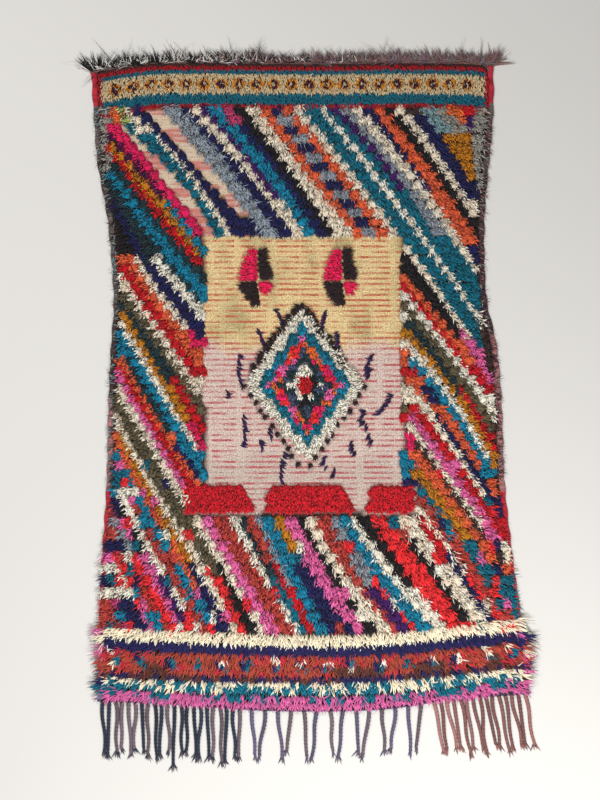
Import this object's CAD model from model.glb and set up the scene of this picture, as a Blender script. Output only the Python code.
"""Looks of the boucherouite rug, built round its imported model.

Each section makes one piece of the rug, or a group of like pieces, in the order in which a
weaver makes them: ground, knotted pile, side cords, warp ends. Metres, +Z up, +Y towards
the head end, +X to the right seen from above.
"""

import math
import random
from collections import namedtuple

import bpy
import numpy as np
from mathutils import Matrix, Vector, noise


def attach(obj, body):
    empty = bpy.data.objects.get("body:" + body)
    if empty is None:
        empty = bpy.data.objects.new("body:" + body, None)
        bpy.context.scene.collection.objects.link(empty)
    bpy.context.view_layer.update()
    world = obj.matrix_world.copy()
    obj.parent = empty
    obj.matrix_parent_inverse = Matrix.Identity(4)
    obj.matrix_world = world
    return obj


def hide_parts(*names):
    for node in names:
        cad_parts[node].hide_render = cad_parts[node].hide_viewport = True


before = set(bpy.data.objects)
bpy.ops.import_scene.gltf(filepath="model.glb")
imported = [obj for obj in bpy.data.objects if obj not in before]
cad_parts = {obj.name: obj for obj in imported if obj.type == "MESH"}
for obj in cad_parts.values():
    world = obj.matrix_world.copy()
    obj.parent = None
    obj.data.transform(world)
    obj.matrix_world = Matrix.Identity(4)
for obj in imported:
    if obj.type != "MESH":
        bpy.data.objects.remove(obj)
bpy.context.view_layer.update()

# --- Camera -----------------------------------------------------------------------------
# The rug was seen from straight above, from the height of a high ceiling. A long lens
# keeps its sides free of perspective, and the longer side of the picture spans 2.6 m.
CAMERA_PLACE = (-0.00975, 0.026, 6.14)
CAMERA_LENS = 85.0
CAMERA_REACH = 60.0

bpy.ops.object.select_all(action="DESELECT")
bpy.ops.object.camera_add(location=CAMERA_PLACE, rotation=(0.0, 0.0, 0.0))
camera = bpy.context.object
camera.data.lens = CAMERA_LENS
camera.data.clip_end = CAMERA_REACH
bpy.context.scene.camera = camera

# --- Ground cloth -----------------------------------------------------------------------
# The whole rug is one plain weave of wool, thin and a little uneven, bare in the middle
# panel and under some stripes. There its weft is cream, with a salmon line every 17.5 mm.
BODY = "root"
Station = namedtuple("Station", "along left right")
OUTLINE = (
    Station(along=-0.945, left=-0.663, right=0.738),
    Station(along=-0.755, left=-0.666, right=0.718),
    Station(along=-0.495, left=-0.656, right=0.683),
    Station(along=-0.245, left=-0.640, right=0.657),
    Station(along=0.020, left=-0.634, right=0.647),
    Station(along=0.200, left=-0.626, right=0.630),
    Station(along=0.350, left=-0.617, right=0.598),
    Station(along=0.610, left=-0.636, right=0.592),
    Station(along=0.805, left=-0.669, right=0.608),
    Station(along=0.970, left=-0.682, right=0.621),
    Station(along=1.105, left=-0.690, right=0.620),
)
End = namedtuple("End", "across along")
HEAD_END = (
    End(across=-0.692, along=1.085),
    End(across=-0.565, along=1.107),
    End(across=-0.455, along=1.117),
    End(across=0.050, along=1.115),
    End(across=0.315, along=1.118),
    End(across=0.530, along=1.115),
    End(across=0.622, along=1.108),
)
FOOT_END = (
    End(across=-0.668, along=-0.946),
    End(across=-0.478, along=-0.952),
    End(across=-0.328, along=-0.962),
    End(across=-0.104, along=-0.977),
    End(across=0.221, along=-0.975),
    End(across=0.367, along=-0.959),
    End(across=0.500, along=-0.934),
    End(across=0.637, along=-0.929),
    End(across=0.740, along=-0.920),
)
LEFT_EDGE = [(station.along, station.left) for station in OUTLINE]
RIGHT_EDGE = [(station.along, station.right) for station in OUTLINE]
CORD_WIDTH = 0.022
CLEARANCE = 0.0004

Box = namedtuple("Box", "left right foot head")
PANEL = Box(left=-0.322, right=0.325, foot=-0.262, head=0.562)
GROUND_TOP = 0.0065
GROUND_THICK = 0.004
GROUND_LINES_ACROSS = 64
GROUND_LINES_COARSE = 0.020
GROUND_LINES_FINE = 0.0045
SALMON_PITCH = 0.0175
SALMON_RISE = 0.0007
SAG = 0.0010
WEFT_PITCH = 0.0045
WARP_PITCH = 0.0062
WOOL_GLOSS, WOOL_SHEEN_ROUGH = 0.15, 0.6
WAVE_LENGTH = 0.11
RIB_PATCHES = (30, 4)


def mix(low, high, share):
    return low + (high - low) * share


def through(points, at):
    """Value at a place on the smooth curve that runs through (place, value) points."""
    at = min(max(at, points[0][0]), points[-1][0])
    i = next(n for n in range(1, len(points)) if at <= points[n][0])
    before, low = points[max(i - 2, 0)], points[i - 1]
    high, after = points[i], points[min(i + 1, len(points) - 1)]
    span = high[0] - low[0]
    leave = span * (high[1] - before[1]) / (high[0] - before[0])
    arrive = span * (after[1] - low[1]) / (after[0] - low[0])
    t = (at - low[0]) / span
    held = (2 * t**3 - 3 * t**2 + 1) * low[1] + (3 * t**2 - 2 * t**3) * high[1]
    return held + (t**3 - 2 * t**2 + t) * leave + (t**3 - t**2) * arrive


def side_limits(along):
    """Left and right edge of the whole cloth at a share of its length from the foot."""
    level = mix(OUTLINE[0].along, OUTLINE[-1].along, along)
    return through(LEFT_EDGE, level), through(RIGHT_EDGE, level)


def lengthwise(x, along):
    """Place along the rug of a point at x, at a share of the length from the foot."""
    return mix(through(FOOT_END, x), through(HEAD_END, x), along)


def within(box, x, y):
    return box.left <= x <= box.right and box.foot <= y <= box.head


def linear(red, green, blue):
    """A colour read as 0 to 255 on screen, as the shader takes it."""
    shown = (red / 255, green / 255, blue / 255)
    return tuple(c / 12.92 if c <= 0.04045 else ((c + 0.055) / 1.055) ** 2.4 for c in shown)


def new_material(name, roughness, sheen):
    """A woollen finish with no colour yet; returns its material, nodes, links and shader."""
    made = bpy.data.materials.new(name)
    made.use_nodes = True
    shader = made.node_tree.nodes["Principled BSDF"]
    shader.inputs["Roughness"].default_value = roughness
    shader.inputs["Specular IOR Level"].default_value = WOOL_GLOSS
    shader.inputs["Sheen Weight"].default_value = sheen
    shader.inputs["Sheen Roughness"].default_value = WOOL_SHEEN_ROUGH
    return made, made.node_tree.nodes, made.node_tree.links, shader


def settle(piece):
    """Hands a finished piece of the cloth to the frame."""
    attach(piece, BODY)


foot_level, head_level = OUTLINE[0].along, OUTLINE[-1].along
cuts_along = [foot_level]
while cuts_along[-1] < head_level:
    fine = PANEL.foot - 0.01 < cuts_along[-1] < PANEL.head + 0.01
    cuts_along.append(cuts_along[-1] + (GROUND_LINES_FINE if fine else GROUND_LINES_COARSE))
cuts_along[-1] = head_level

bpy.ops.object.select_all(action="DESELECT")
bpy.ops.mesh.primitive_grid_add(
    x_subdivisions=GROUND_LINES_ACROSS, y_subdivisions=len(cuts_along) - 1, size=1.0
)
ground = bpy.context.object
ground.name = "ground_cloth"
inset = CORD_WIDTH + CLEARANCE
for vertex in ground.data.vertices:
    across, step = vertex.co.x + 0.5, round((vertex.co.y + 0.5) * (len(cuts_along) - 1))
    along = (cuts_along[step] - foot_level) / (head_level - foot_level)
    left, right = side_limits(along)
    x = mix(left + inset, right - inset, across)
    y = lengthwise(x, along)
    rib = max(0.0, math.cos(math.tau * y / SALMON_PITCH)) ** 4 * SALMON_RISE
    patchy = 0.5 + 0.5 * noise.noise(Vector((x * RIB_PATCHES[0], y * RIB_PATCHES[1], 1.0)))
    wave = SAG * noise.noise(Vector((x, y, 0.0)) / WAVE_LENGTH)
    vertex.co = (x, y, GROUND_TOP + rib * patchy + wave)
thickness = ground.modifiers.new("weave", "SOLIDIFY")
thickness.thickness = GROUND_THICK
thickness.offset = -1.0
bpy.ops.object.modifier_apply(modifier=thickness.name)
bpy.ops.object.shade_smooth()

GROUND_YELLOW = linear(228, 206, 156)
GROUND_PINK = linear(214, 196, 187)
GROUND_OLIVE = linear(176, 168, 122)
GROUND_GREY = linear(198, 184, 174)
GROUND_BEIGE = linear(206, 184, 158)
GROUND_ROSE = linear(196, 124, 112)
GROUND_UNDER = linear(58, 42, 38)
SALMON = linear(200, 108, 78)
ROSE_LINE = linear(190, 92, 98)
LINE_DOTS = linear(84, 42, 32)
DOT_PITCH = 0.0110
WARP_SHADOW = linear(92, 62, 52)
SEAM_OF_DYES, SEAM_OF_GREY = (0.175, 0.225), (-0.130, -0.190)  # along the rug
SEAM_WANDERS = 0.16
PATCHES_OF_SEAM, PATCHES_OF_OLIVE = (9.0, 3.0, 1.0), (11.0, 6.0, 1.0)  # per metre, by axis
PATCHES_OF_ROSE, PATCHES_OF_FADING = (5.0, 22.0, 1.0), (26.0, 2.2, 1.0)
BREAKS_IN_LINES, SPECKS_IN_LINES = (12.0, 55.0, 1.0), (240.0, 330.0, 1.0)
DRIFT_OF_DOTS, DRIFTS_BY = (45.0, 75.0, 1.0), 24.0
WARP_SPECKS, PORES = (260.0, 60.0, 1.0), (210.0, 250.0, 1.0)
SPUN_STRETCH, SPUN_EDGES = (90.0, 700.0, 90.0), (0.35, 0.75)
PORE_DARK, PORE_LIGHT = (0.72, 0.67, 0.62), (1.16, 1.17, 1.18)
GRAIN_DARK, GRAIN_LIGHT = (0.80, 0.78, 0.74), (1.10, 1.10, 1.12)
WEAVE_RELIEF, WEAVE_DEPTH = 0.6, 0.0008
weave, nodes, links, shader = new_material("woven_ground", 0.95, 0.05)


def maths(operation, first, second=None):
    """A Math node on values or on the outputs of other nodes."""
    made = nodes.new("ShaderNodeMath")
    made.operation = operation
    for socket, value in zip(made.inputs, (first, second)):
        if value is None:
            continue
        if isinstance(value, (int, float)):
            socket.default_value = value
        else:
            links.new(value, socket)
    return made.outputs[0]


def blend_colours(share, first, second, way="MIX"):
    """Mixes two colours, each a triple or another node's output."""
    made = nodes.new("ShaderNodeMix")
    made.data_type = "RGBA"
    made.blend_type = way
    share_in, first_in, second_in = made.inputs[0], made.inputs[6], made.inputs[7]
    for socket, value in ((share_in, share), (first_in, first), (second_in, second)):
        if isinstance(value, (int, float)):
            socket.default_value = value
        elif isinstance(value, tuple):
            socket.default_value = (*value, 1.0)
        else:
            links.new(value, socket)
    return made.outputs[2]


def cloudy(scale, stretch=(1.0, 1.0, 1.0), detail=2.0):
    """Noise over the piece, drawn out along its axes."""
    place = nodes.new("ShaderNodeTexCoord")
    drawn = nodes.new("ShaderNodeMapping")
    drawn.inputs["Scale"].default_value = stretch
    links.new(place.outputs["Object"], drawn.inputs["Vector"])
    made = nodes.new("ShaderNodeTexNoise")
    made.inputs["Scale"].default_value = scale
    made.inputs["Detail"].default_value = detail
    links.new(drawn.outputs["Vector"], made.inputs["Vector"])
    return made.outputs["Fac"]


def step_over(value, low, high):
    """0 below low, 1 above high, and even between them."""
    made = nodes.new("ShaderNodeMapRange")
    made.inputs["From Min"].default_value = low
    made.inputs["From Max"].default_value = high
    links.new(value, made.inputs["Value"])
    return made.outputs["Result"]


# Spun wool shows streaks along its thread. The ground and all the yarn share this effect.
spun = bpy.data.node_groups.new("spun_fibre", "ShaderNodeTree")
for name, kind in (("Thread", "NodeSocketVector"), ("Fineness", "NodeSocketFloat"),
                   ("Low", "NodeSocketFloat"), ("High", "NodeSocketFloat")):
    spun.interface.new_socket(name, in_out="INPUT", socket_type=kind)
for name in ("Streak", "Fibre"):
    spun.interface.new_socket(name, in_out="OUTPUT", socket_type="NodeSocketFloat")
taken, given = spun.nodes.new("NodeGroupInput"), spun.nodes.new("NodeGroupOutput")
fibre, edge = spun.nodes.new("ShaderNodeTexNoise"), spun.nodes.new("ShaderNodeMapRange")
spun.links.new(taken.outputs["Thread"], fibre.inputs["Vector"])
spun.links.new(taken.outputs["Fineness"], fibre.inputs["Scale"])
spun.links.new(fibre.outputs["Fac"], edge.inputs["Value"])
spun.links.new(taken.outputs["Low"], edge.inputs["From Min"])
spun.links.new(taken.outputs["High"], edge.inputs["From Max"])
spun.links.new(edge.outputs["Result"], given.inputs["Streak"])
spun.links.new(fibre.outputs["Fac"], given.inputs["Fibre"])


def spun_fibre(thread, stretch, fineness, low, high):
    """The shared effect, placed in the material at hand with its own values."""
    drawn = nodes.new("ShaderNodeMapping")
    drawn.inputs["Scale"].default_value = stretch
    links.new(thread, drawn.inputs["Vector"])
    made = nodes.new("ShaderNodeGroup")
    made.node_tree = spun
    links.new(drawn.outputs["Vector"], made.inputs["Thread"])
    for socket, value in (("Fineness", fineness), ("Low", low), ("High", high)):
        made.inputs[socket].default_value = value
    return made.outputs["Streak"], made.outputs["Fibre"]


# From where to where each effect sets in, on the scale of its noise or its wave
OLIVE_EDGES, BROKEN_EDGES, SPECKLE_EDGES = (0.47, 0.66), (0.38, 0.58), (0.18, 0.50)
FADED_EDGES, ROSE_EDGES, PORE_EDGES = (0.36, 0.48), (0.47, 0.53), (0.36, 0.64)
SALMON_EDGES, DOTTED_EDGES, BEAD_EDGES = (-0.25, 0.45), (0.25, 0.6), (0.15, 0.75)
DARK_EDGES, WARP_EDGES, CROSSING_EDGES = (0.75, 0.95), (0.52, 0.62), (-0.9, 0.9)
# How much of each shows
OLIVE_SHARE, GREY_SHARE, STREAK_SHARE, SHADOW_SHARE = 0.75, 0.8, 0.45, 0.65
LINE_LEAST, BEAD_SHARE, BEAD_LEAST = 0.15, 0.30, 0.04
SHADOW_ON_CREAM, SHADOW_ON_ROSE, LINE_ON_ROSE, BEAD_ON_ROSE = 0.5, 1.6, 0.55, 0.8
WARP_RIDGE = 0.6

place = nodes.new("ShaderNodeTexCoord")
apart = nodes.new("ShaderNodeSeparateXYZ")
links.new(place.outputs["Object"], apart.inputs["Vector"])
across, along = apart.outputs["X"], apart.outputs["Y"]
wander = maths("SUBTRACT", cloudy(1.0, PATCHES_OF_SEAM, 4.0), 0.5)
level = maths("ADD", along, maths("MULTIPLY", wander, SEAM_WANDERS))
yellow = step_over(level, *SEAM_OF_DYES)
lowest = step_over(level, *SEAM_OF_GREY)
olive = step_over(cloudy(1.0, PATCHES_OF_OLIVE, 3.0), *OLIVE_EDGES)
cream = blend_colours(yellow, GROUND_PINK, GROUND_YELLOW)
olive = maths("MULTIPLY", olive, maths("MULTIPLY", yellow, OLIVE_SHARE))
cream = blend_colours(olive, cream, GROUND_OLIVE)
cream = blend_colours(maths("MULTIPLY", lowest, GREY_SHARE), cream, GROUND_GREY)
turns = maths("MULTIPLY", along, math.tau / SALMON_PITCH)
salmon = step_over(maths("COSINE", turns), *SALMON_EDGES)
broken = step_over(cloudy(1.0, BREAKS_IN_LINES, 3.0), *BROKEN_EDGES)
speckle = step_over(cloudy(1.0, SPECKS_IN_LINES, 1.0), *SPECKLE_EDGES)
faded = step_over(cloudy(1.0, PATCHES_OF_FADING, 2.0), *FADED_EDGES)
faded = maths("ADD", maths("MULTIPLY", faded, 1 - LINE_LEAST), LINE_LEAST)
salmon = maths("MULTIPLY", maths("MULTIPLY", salmon, faded), maths("MULTIPLY", broken, speckle))
drift = maths("MULTIPLY", cloudy(1.0, DRIFT_OF_DOTS, 1.0), DRIFTS_BY)
beads = maths("SINE", maths("ADD", maths("MULTIPLY", across, math.tau / DOT_PITCH), drift))
on_line = step_over(maths("COSINE", turns), *DOTTED_EDGES)
beads = maths("MULTIPLY", step_over(beads, *BEAD_EDGES), on_line)
strong = maths("ADD", maths("MULTIPLY", faded, BEAD_SHARE), BEAD_LEAST)
beads = maths("MULTIPLY", beads, strong)
dark = step_over(maths("COSINE", maths("ADD", turns, math.pi)), *DARK_EDGES)
dots = step_over(cloudy(1.0, WARP_SPECKS, 2.0), *WARP_EDGES)
dark = maths("MULTIPLY", dark, maths("MULTIPLY", dots, SHADOW_SHARE))
streak, thread = spun_fibre(place.outputs["Object"], SPUN_STRETCH, 1.0, *SPUN_EDGES)
cream = blend_colours(salmon, cream, blend_colours(yellow, ROSE_LINE, SALMON))
cream = blend_colours(beads, cream, LINE_DOTS)
cream = blend_colours(maths("MULTIPLY", dark, SHADOW_ON_CREAM), cream, WARP_SHADOW)
pores = step_over(cloudy(1.0, PORES, 1.0), *PORE_EDGES)
cream = blend_colours(1.0, cream, blend_colours(pores, PORE_DARK, PORE_LIGHT), "MULTIPLY")
cream = blend_colours(maths("MULTIPLY", streak, STREAK_SHARE), cream, cream, "MULTIPLY")
weft = maths("SINE", maths("MULTIPLY", along, math.tau / WEFT_PITCH))
warp = maths("SINE", maths("MULTIPLY", across, math.tau / WARP_PITCH))
crossing = step_over(maths("MULTIPLY", weft, warp), *CROSSING_EDGES)
grain = blend_colours(crossing, GRAIN_DARK, GRAIN_LIGHT)
bare = nodes.new("ShaderNodeVertexColor")
bare.layer_name = "bare"
bare_parts = nodes.new("ShaderNodeSeparateColor")
links.new(bare.outputs["Color"], bare_parts.inputs["Color"])
patches = step_over(cloudy(1.0, PATCHES_OF_ROSE, 1.0), *ROSE_EDGES)
rose = blend_colours(patches, GROUND_BEIGE, GROUND_ROSE)
rose = blend_colours(maths("MULTIPLY", salmon, LINE_ON_ROSE), rose, GROUND_PINK)
darker = maths("MINIMUM", maths("MULTIPLY", dark, SHADOW_ON_ROSE), 1.0)
rose = blend_colours(darker, rose, WARP_SHADOW)
rose = blend_colours(maths("MULTIPLY", beads, BEAD_ON_ROSE), rose, LINE_DOTS)
cream = blend_colours(bare_parts.outputs["Green"], cream, rose)
cream = blend_colours(1.0, cream, grain, "MULTIPLY")
cream = blend_colours(bare_parts.outputs["Red"], GROUND_UNDER, cream)
links.new(cream, shader.inputs["Base Color"])
relief = nodes.new("ShaderNodeBump")
relief.inputs["Strength"].default_value = WEAVE_RELIEF
relief.inputs["Distance"].default_value = WEAVE_DEPTH
ridges = maths("ADD", weft, maths("MULTIPLY", warp, WARP_RIDGE))
links.new(maths("ADD", ridges, thread), relief.inputs["Height"])
links.new(relief.outputs["Normal"], shader.inputs["Normal"])
ground.data.materials.append(weave)
settle(ground)

# --- Knotted field ----------------------------------------------------------------------
# Every 30 mm a row of symmetric knots is tied, of thick soft yarn and strips of rag. Each
# knot opens into a puff of pointed ends. Odd rows repeat even rows but for mixed stripes.
YARNS = {
    "sage": (160, 155, 145), "orange": (232, 110, 50), "moss": (175, 185, 115),
    "cream": (244, 226, 202), "white": (246, 236, 216), "navy": (28, 28, 84),
    "mist": (146, 152, 160), "purple": (70, 22, 100), "turquoise": (6, 132, 164),
    "teal": (0, 108, 130), "rose": (196, 66, 112), "wine": (82, 12, 66),
    "black": (28, 22, 26), "brown": (66, 44, 40), "coral": (232, 100, 58),
    "pink": (238, 30, 98), "mauve": (232, 104, 164), "aqua": (126, 156, 160),
    "red": (204, 16, 28), "scarlet": (250, 46, 50), "brick": (190, 66, 56),
    "ochre": (198, 126, 18), "slate": (32, 56, 62), "olive": (104, 92, 66),
    "foot_pink": (206, 100, 156), "foot_cream": (238, 222, 194), "foot_navy": (34, 30, 84),
    "foot_brown": (98, 52, 42), "figure_brown": (50, 32, 34), "figure_blue": (70, 84, 112),
    "indigo": (50, 26, 74), "figure_pink": (255, 30, 92),
    "cord_grey": (98, 86, 84), "cord_dark": (72, 54, 54),
    "cord_rose": (160, 108, 106), "cord_red": (172, 40, 54), "warp_slate": (44, 50, 66),
    "warp_mauve": (108, 92, 100), "warp_purple": (92, 84, 112), "warp_brown": (122, 82, 78),
    "warp_rose": (150, 104, 100), "hair_black": (26, 22, 24), "hair_grey": (128, 122, 122),
    "hair_white": (226, 220, 212), "hair_mauve": (128, 96, 112), "hair_brown": (136, 100, 92),
    "crimson": (160, 14, 28), "band_teal": (6, 98, 118), "band_cream": (198, 176, 138),
    "plum": (60, 14, 44), "haze": (176, 188, 198), "terracotta": (170, 70, 52),
    "foot_red": (190, 44, 56), "band_red": (214, 22, 38),
}
Stripe = namedtuple("Stripe", "yarn first_row last_row start end bow")
STRIPES = (
    # upper left and top
    Stripe("sage", 0, 7, -25.4, -25.0, 0.0),
    Stripe("orange", 0, 1, -24.0, -23.6, 0.0),
    Stripe("moss", 0, 1, -23.0, -22.5, 0.0),
    Stripe("cream", 0, 2, -22.0, -20.9, 0.0),
    Stripe("navy", 0, 13, -21.3, -9.0, 1.1),
    Stripe("bare", 0, 11, -19.9, -8.5, 0.0),
    Stripe("mist", 0, 13, -17.1, -5.1, 0.4),
    Stripe("navy", 0, 13, -15.0, -3.5, 0.5),
    Stripe("cream", 0, 13, -14.0, -1.5, 0.5),
    Stripe("purple", 0, 9, -12.5, -4.0, 0.4),
    Stripe("turquoise", 0, 13, -11.7, -0.1, 0.8),
    Stripe("rose", 0, 1, -10.0, -9.3, 0.0),
    Stripe("navy", 2, 13, -7.8, 1.4, 0.5),
    Stripe("black", 0, 13, -8.5, 2.9, 0.2),
    Stripe("cream", 0, 13, -7.0, 3.8, 0.1),
    Stripe("brown", 0, 0, -5.3, -5.3, 0.0),
    Stripe("coral", 0, 13, -5.3, 6.1, -0.2),
    Stripe("navy/mist", 0, 13, -3.9, 7.3, -0.1),
    Stripe("coral", 0, 13, -2.6, 9.0, 0.5),
    Stripe("cream", 0, 13, -1.2, 10.6, 0.2),
    Stripe("teal", 0, 25, 0.2, 21.5, 0.5),
    Stripe("white", 0, 23, 2.2, 22.1, 0.4),
    Stripe("teal", 0, 21, 3.0, 21.0, 0.6),
    Stripe("purple", 0, 8, 3.7, 11.6, 0.4),
    Stripe("teal", 14, 20, 16.6, 22.0, 0.0),
    Stripe("mist", 0, 13, 4.7, 15.8, 1.0),
    Stripe("cream", 0, 17, 6.0, 20.9, 0.6),
    Stripe("navy", 0, 16, 7.5, 21.0, 0.8),
    Stripe("brown", 0, 0, 8.8, 8.8, 0.0),
    Stripe("coral", 0, 14, 8.9, 19.7, 0.2),
    Stripe("black", 0, 15, 10.2, 22.4, 0.6),
    Stripe("cream", 0, 11, 11.5, 20.6, 0.3),
    Stripe("navy", 1, 9, 13.8, 20.2, 0.1),
    Stripe("brown", 0, 0, 12.9, 12.9, 0.0),
    Stripe("aqua", 0, 3, 14.6, 17.3, 0.0),
    Stripe("ochre", 3, 7, 17.4, 20.3, 0.0),
    Stripe("sage", 0, 2, 16.4, 18.4, 0.0),
    Stripe("orange", 0, 1, 17.9, 19.2, 0.0),
    Stripe("purple", 1, 2, 20.0, 20.6, 0.0),
    Stripe("red", 0, 0, 20.0, 20.0, 0.0),
    Stripe("sage", 0, 8, 21.3, 21.8, -0.6),
    Stripe("brown", 7, 23, 22.4, 23.0, 0.0),
    # left
    Stripe("cream", 2, 13, -19.0, -9.8, 0.5),
    Stripe("teal", 2, 13, -21.6, -11.0, 1.0),
    Stripe("bare", 1, 13, -23.6, -12.4, 0.0),
    Stripe("pink", 2, 14, -24.4, -12.8, 0.4),
    Stripe("wine", 3, 9, -24.3, -17.9, 0.0),
    Stripe("turquoise", 10, 15, -16.9, -12.9, 0.0),
    Stripe("ochre", 4, 16, -24.0, -12.7, 0.0),
    Stripe("red", 4, 17, -24.3, -12.7, -0.4),
    Stripe("slate", 6, 19, -24.0, -12.1, -0.1),
    Stripe("turquoise", 7, 20, -24.2, -13.0, -0.4),
    Stripe("slate", 8, 16, -24.4, -19.3, 0.0),
    Stripe("white", 16, 22, -18.9, -13.2, 0.0),
    Stripe("slate", 16, 21, -17.4, -12.5, 0.0),
    Stripe("navy", 10, 24, -23.6, -13.3, -1.0),
    Stripe("black", 9, 15, -24.5, -22.8, 0.0),
    Stripe("cream", 16, 24, -20.8, -14.2, -0.6),
    Stripe("pink", 24, 25, -14.2, -13.9, 0.0),
    Stripe("coral", 16, 27, -22.3, -13.6, 0.0),
    Stripe("red", 17, 28, -23.1, -14.1, 0.1),
    Stripe("cream", 18, 31, -23.2, -12.7, -0.1),
    Stripe("olive", 20, 32, -22.9, -13.3, 0.5),
    Stripe("slate", 21, 29, -22.5, -17.1, 0.1),
    Stripe("ochre", 22, 33, -22.8, -15.3, 0.1),
    Stripe("red", 29, 34, -16.5, -13.2, 0.0),
    Stripe("pink", 34, 36, -14.4, -13.1, 0.0),
    Stripe("white", 23, 36, -22.9, -13.6, -0.1),
    Stripe("turquoise", 24, 39, -23.3, -12.9, -0.2),
    Stripe("slate", 27, 34, -21.9, -17.5, 0.0),
    Stripe("navy", 36, 40, -16.0, -12.6, 0.0),
    Stripe("coral", 27, 41, -23.0, -13.0, 0.2),
    Stripe("red", 28, 42, -22.7, -13.2, -0.2),
    Stripe("mauve", 28, 55, -23.7, -5.0, 0.0),
    Stripe("cream", 30, 55, -23.5, -6.1, 0.0),
    Stripe("olive", 30, 49, -24.3, -11.7, -0.9),
    Stripe("cream", 33, 50, -23.8, -12.3, -0.2),
    Stripe("ochre", 34, 48, -23.3, -14.7, -0.4),
    Stripe("coral", 34, 50, -24.1, -14.1, -0.5),
    Stripe("turquoise", 37, 55, -24.1, -12.2, 0.0),
    Stripe("brick", 42, 55, -21.5, -13.1, -0.3),
    Stripe("white", 41, 55, -23.2, -14.1, -0.2),
    Stripe("black", 43, 47, -22.9, -20.0, 0.0),
    Stripe("purple", 50, 55, -18.0, -15.2, 0.0),
    Stripe("mauve", 41, 55, -24.6, -15.7, -0.2),
    Stripe("mist", 43, 47, -24.7, -22.0, 0.0),
    Stripe("scarlet", 48, 55, -21.9, -17.1, 0.0),
    Stripe("brick", 45, 55, -24.6, -17.8, -0.1),
    Stripe("turquoise", 46, 55, -24.7, -18.8, -0.1),
    Stripe("white", 47, 55, -24.8, -19.5, 0.1),
    Stripe("navy", 50, 55, -24.8, -21.3, 0.0),
    Stripe("rose", 51, 55, -24.9, -22.8, 0.0),
    Stripe("brick", 53, 55, -24.9, -24.1, 0.0),
    Stripe("navy", 49, 55, -14.2, -11.1, 0.0),
    Stripe("cream", 49, 55, -13.2, -9.5, 0.0),
    Stripe("scarlet", 49, 55, -12.0, -8.5, 0.0),
    Stripe("black", 49, 55, -10.7, -7.5, 0.0),
    # below the panel
    Stripe("brick", 43, 55, -11.9, -3.4, -0.1),
    Stripe("white", 43, 55, -9.9, -1.5, 0.0),
    Stripe("slate", 44, 49, -7.9, -4.8, 0.0),
    Stripe("brick", 44, 48, -7.1, -5.1, 0.0),
    Stripe("mist", 44, 50, -5.8, -2.5, 0.0),
    Stripe("turquoise", 43, 55, -5.9, 1.1, 0.0),
    Stripe("teal", 50, 55, -4.5, -1.0, 0.0),
    Stripe("red", 49, 55, -3.7, -0.0, 0.0),
    Stripe("ochre", 44, 47, -3.7, -1.8, 0.0),
    Stripe("mauve", 43, 55, -2.7, 5.6, -0.8),
    Stripe("navy", 49, 55, -1.2, 2.7, 0.0),
    Stripe("black", 43, 50, -1.3, 3.3, 0.0),
    Stripe("black", 52, 55, 4.6, 7.1, 0.0),
    Stripe("cream", 43, 55, -0.4, 8.6, -0.6),
    Stripe("brick", 43, 55, 1.0, 10.5, -0.8),
    Stripe("purple", 51, 55, 7.4, 11.1, 0.0),
    Stripe("mist", 43, 50, 2.6, 7.0, 0.0),
    Stripe("scarlet", 50, 55, 8.1, 12.8, 0.0),
    Stripe("turquoise", 43, 55, 3.8, 13.4, -0.4),
    Stripe("white", 43, 55, 5.3, 15.6, -0.8),
    Stripe("black", 44, 50, 6.7, 11.9, 0.0),
    Stripe("scarlet", 43, 55, 7.7, 17.5, -0.2),
    Stripe("black", 44, 54, 10.3, 18.9, 0.5),
    Stripe("cream", 44, 55, 11.8, 21.1, 0.0),
    Stripe("red", 44, 48, 14.3, 17.1, 0.0),
    Stripe("navy", 48, 54, 17.7, 22.4, 0.0),
    Stripe("cream", 43, 48, 14.1, 18.7, 0.0),
    Stripe("scarlet/cream", 48, 55, 18.6, 23.8, 0.0),
    Stripe("brick", 42, 54, 14.2, 24.1, 0.0),
    Stripe("teal", 41, 53, 14.4, 23.9, 0.8),
    Stripe("ochre", 39, 46, 13.5, 19.7, 0.1),
    Stripe("coral", 37, 49, 13.1, 23.4, 0.4),
    Stripe("brown", 36, 48, 13.9, 24.1, 0.2),
    Stripe("cream", 34, 48, 13.0, 24.7, 0.0),
    Stripe("mauve", 33, 46, 13.1, 23.4, 0.0),
    Stripe("red", 32, 46, 13.2, 24.7, 0.2),
    # right of the panel
    Stripe("cream", 14, 24, 11.8, 20.1, 0.0),
    Stripe("black", 15, 24, 10.3, 18.8, -0.1),
    Stripe("mauve", 24, 29, 19.3, 22.8, 0.0),
    Stripe("brown", 23, 28, 21.9, 22.9, 0.0),
    Stripe("coral", 16, 27, 10.3, 20.1, 0.1),
    Stripe("red", 18, 30, 11.5, 22.4, 0.0),
    Stripe("white", 19, 33, 11.2, 23.6, 0.4),
    Stripe("olive", 21, 34, 12.3, 22.9, 0.1),
    Stripe("slate", 23, 30, 12.7, 18.9, 0.0),
    Stripe("ochre", 24, 38, 12.3, 23.3, 1.2),
    Stripe("red", 30, 36, 19.4, 23.3, 0.0),
    Stripe("white", 25, 37, 12.1, 22.4, 0.8),
    Stripe("turquoise", 27, 39, 13.2, 22.7, 0.6),
    Stripe("coral", 29, 41, 12.9, 23.4, 0.6),
    Stripe("navy", 30, 43, 14.5, 24.1, -0.2),
    Stripe("cream", 30, 42, 12.4, 22.5, 0.6),
    Stripe("brown", 34, 41, 23.7, 24.7, 0.0),
)
ROW_PITCH = 0.0302
KNOT_PITCH = 0.0260
FIRST_ROW = 0.966
FIELD_ROWS = 57
LAST_CHARTED = 55
WIDE_FROM = 43
WIDE_STEP = 1.25
LONGER = 1.4
OVER_ENDS = 12
OVER_LENGTH = 0.0190
ROUND_ENDS = 7
STRAND_WIDTH = 0.0028  # half the thickness of a yarn at its root
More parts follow.
